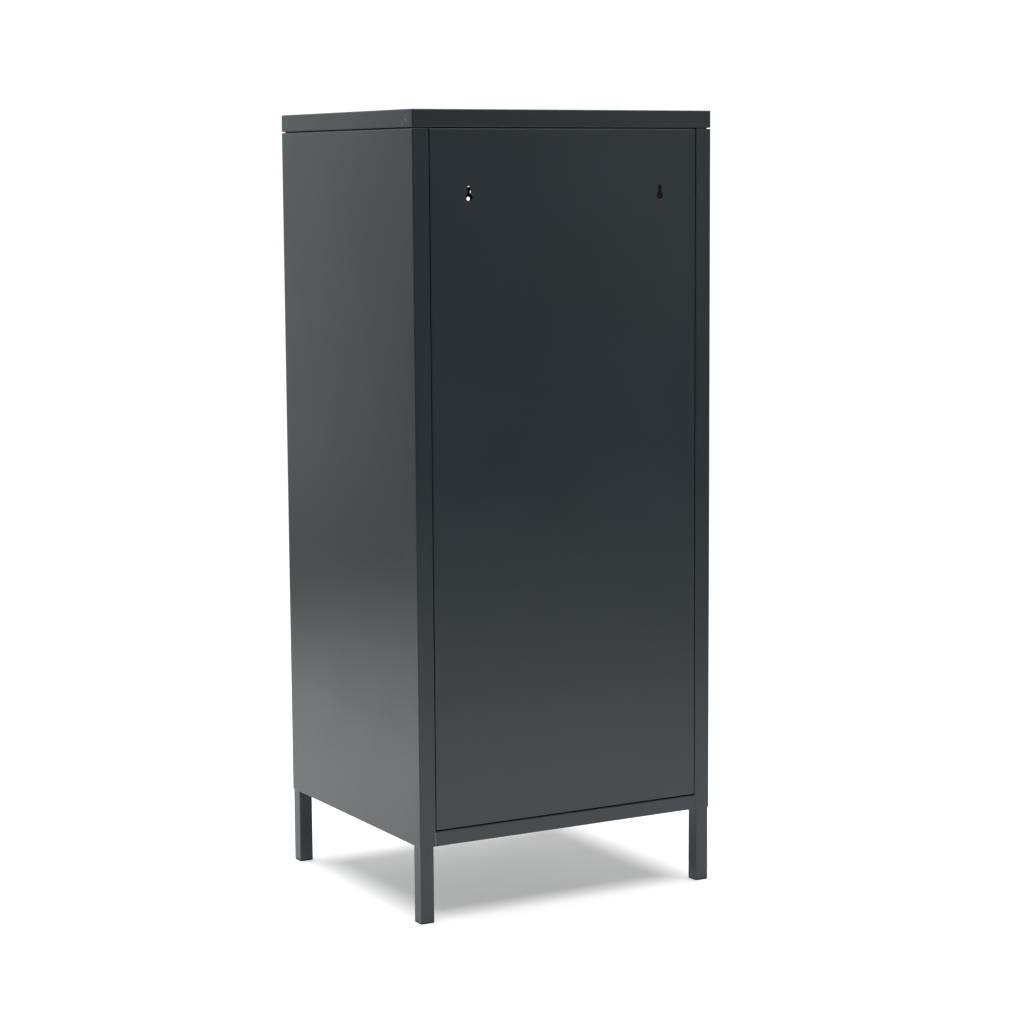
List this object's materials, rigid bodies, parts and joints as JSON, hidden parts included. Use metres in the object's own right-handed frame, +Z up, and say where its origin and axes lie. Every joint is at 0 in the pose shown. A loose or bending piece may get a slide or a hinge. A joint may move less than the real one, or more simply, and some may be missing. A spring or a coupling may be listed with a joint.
{
  "type": "chest of drawers",
  "caption": "Tall steel chest of four drawers on square legs, with perforated fronts, telescopic slides and two keyholes in its back panel.",
  "frame": {"origin": "centre of the bottom of the whole box, pulls included, on the floor under the feet", "axes": "+Z up; the drawers open towards -Y and the back panel faces +Y; +X is the side called right in the node names"},
  "size_m": [0.46, 0.4306, 1.08],
  "materials": {
    "carcass": "fine-textured dark anthracite powder coat, satin",
    "drawer_front": "the same dark anthracite powder coat on perforated sheet",
    "drawer_tray": "dark anthracite powder coat",
    "pull": "dark anthracite powder coat on square bar",
    "zinc_steel": "bright zinc-plated steel",
    "screws": "zinc-plated steel",
    "feet": "black moulded plastic"
  },
  "bodies": {
    "cabinet": {"side_panel_right": "carcass", "side_panel_left": "carcass", "back_panel": "carcass", "bottom_panel": "carcass", "top_cap": "carcass", "top_rail_rear": "carcass", "top_rail_front": "carcass", "leg_rear_right": "carcass", "leg_rear_left": "carcass", "leg_front_right": "carcass", "leg_front_left": "carcass", "foot_rear_right": "feet", "foot_rear_left": "feet", "foot_front_right": "feet", "foot_front_left": "feet", "upright_rear_right": "zinc_steel", "upright_rear_left": "zinc_steel", "upright_front_right": "zinc_steel", "upright_front_left": "zinc_steel", "cabinet_screws": "screws", "slide_1_right_outer": "zinc_steel", "slide_1_left_outer": "zinc_steel", "slide_2_right_outer": "zinc_steel", "slide_2_left_outer": "zinc_steel", "slide_3_right_outer": "zinc_steel", "slide_3_left_outer": "zinc_steel", "slide_4_right_outer": "zinc_steel", "slide_4_left_outer": "zinc_steel"},
    "drawer_1": {"drawer_1_front": "drawer_front", "drawer_1_tray": "drawer_tray", "drawer_1_pull": "pull", "drawer_1_screws": "screws", "slide_1_right_inner": "zinc_steel", "slide_1_left_inner": "zinc_steel"},
    "slides_1": {"slide_1_right_middle": "zinc_steel", "slide_1_left_middle": "zinc_steel"},
    "drawer_2": {"drawer_2_front": "drawer_front", "drawer_2_tray": "drawer_tray", "drawer_2_pull": "pull", "drawer_2_screws": "screws", "slide_2_right_inner": "zinc_steel", "slide_2_left_inner": "zinc_steel"},
    "slides_2": {"slide_2_right_middle": "zinc_steel", "slide_2_left_middle": "zinc_steel"},
    "drawer_3": {"drawer_3_front": "drawer_front", "drawer_3_tray": "drawer_tray", "drawer_3_pull": "pull", "drawer_3_screws": "screws", "slide_3_right_inner": "zinc_steel", "slide_3_left_inner": "zinc_steel"},
    "slides_3": {"slide_3_right_middle": "zinc_steel", "slide_3_left_middle": "zinc_steel"},
    "drawer_4": {"drawer_4_front": "drawer_front", "drawer_4_tray": "drawer_tray", "drawer_4_pull": "pull", "drawer_4_screws": "screws", "slide_4_right_inner": "zinc_steel", "slide_4_left_inner": "zinc_steel"},
    "slides_4": {"slide_4_right_middle": "zinc_steel", "slide_4_left_middle": "zinc_steel"}
  },
  "joints": [
    {"name": "drawer_1_slide", "type": "slide", "parent": "cabinet", "child": "drawer_1", "axis": [0, -1, 0], "range_m": [0, 0.34]},
    {"name": "slides_1_travel", "type": "slide", "parent": "cabinet", "child": "slides_1", "axis": [0, -1, 0], "range_m": [0, 0.17]},
    {"name": "drawer_2_slide", "type": "slide", "parent": "cabinet", "child": "drawer_2", "axis": [0, -1, 0], "range_m": [0, 0.34]},
    {"name": "slides_2_travel", "type": "slide", "parent": "cabinet", "child": "slides_2", "axis": [0, -1, 0], "range_m": [0, 0.17]},
    {"name": "drawer_3_slide", "type": "slide", "parent": "cabinet", "child": "drawer_3", "axis": [0, -1, 0], "range_m": [0, 0.34]},
    {"name": "slides_3_travel", "type": "slide", "parent": "cabinet", "child": "slides_3", "axis": [0, -1, 0], "range_m": [0, 0.17]},
    {"name": "drawer_4_slide", "type": "slide", "parent": "cabinet", "child": "drawer_4", "axis": [0, -1, 0], "range_m": [0, 0.34]},
    {"name": "slides_4_travel", "type": "slide", "parent": "cabinet", "child": "slides_4", "axis": [0, -1, 0], "range_m": [0, 0.17]}
  ],
  "couplings": [
    {"joint": "slides_1_travel", "follows": "drawer_1_slide", "ratio": 0.5},
    {"joint": "slides_2_travel", "follows": "drawer_2_slide", "ratio": 0.5},
    {"joint": "slides_3_travel", "follows": "drawer_3_slide", "ratio": 0.5},
    {"joint": "slides_4_travel", "follows": "drawer_4_slide", "ratio": 0.5}
  ]
}
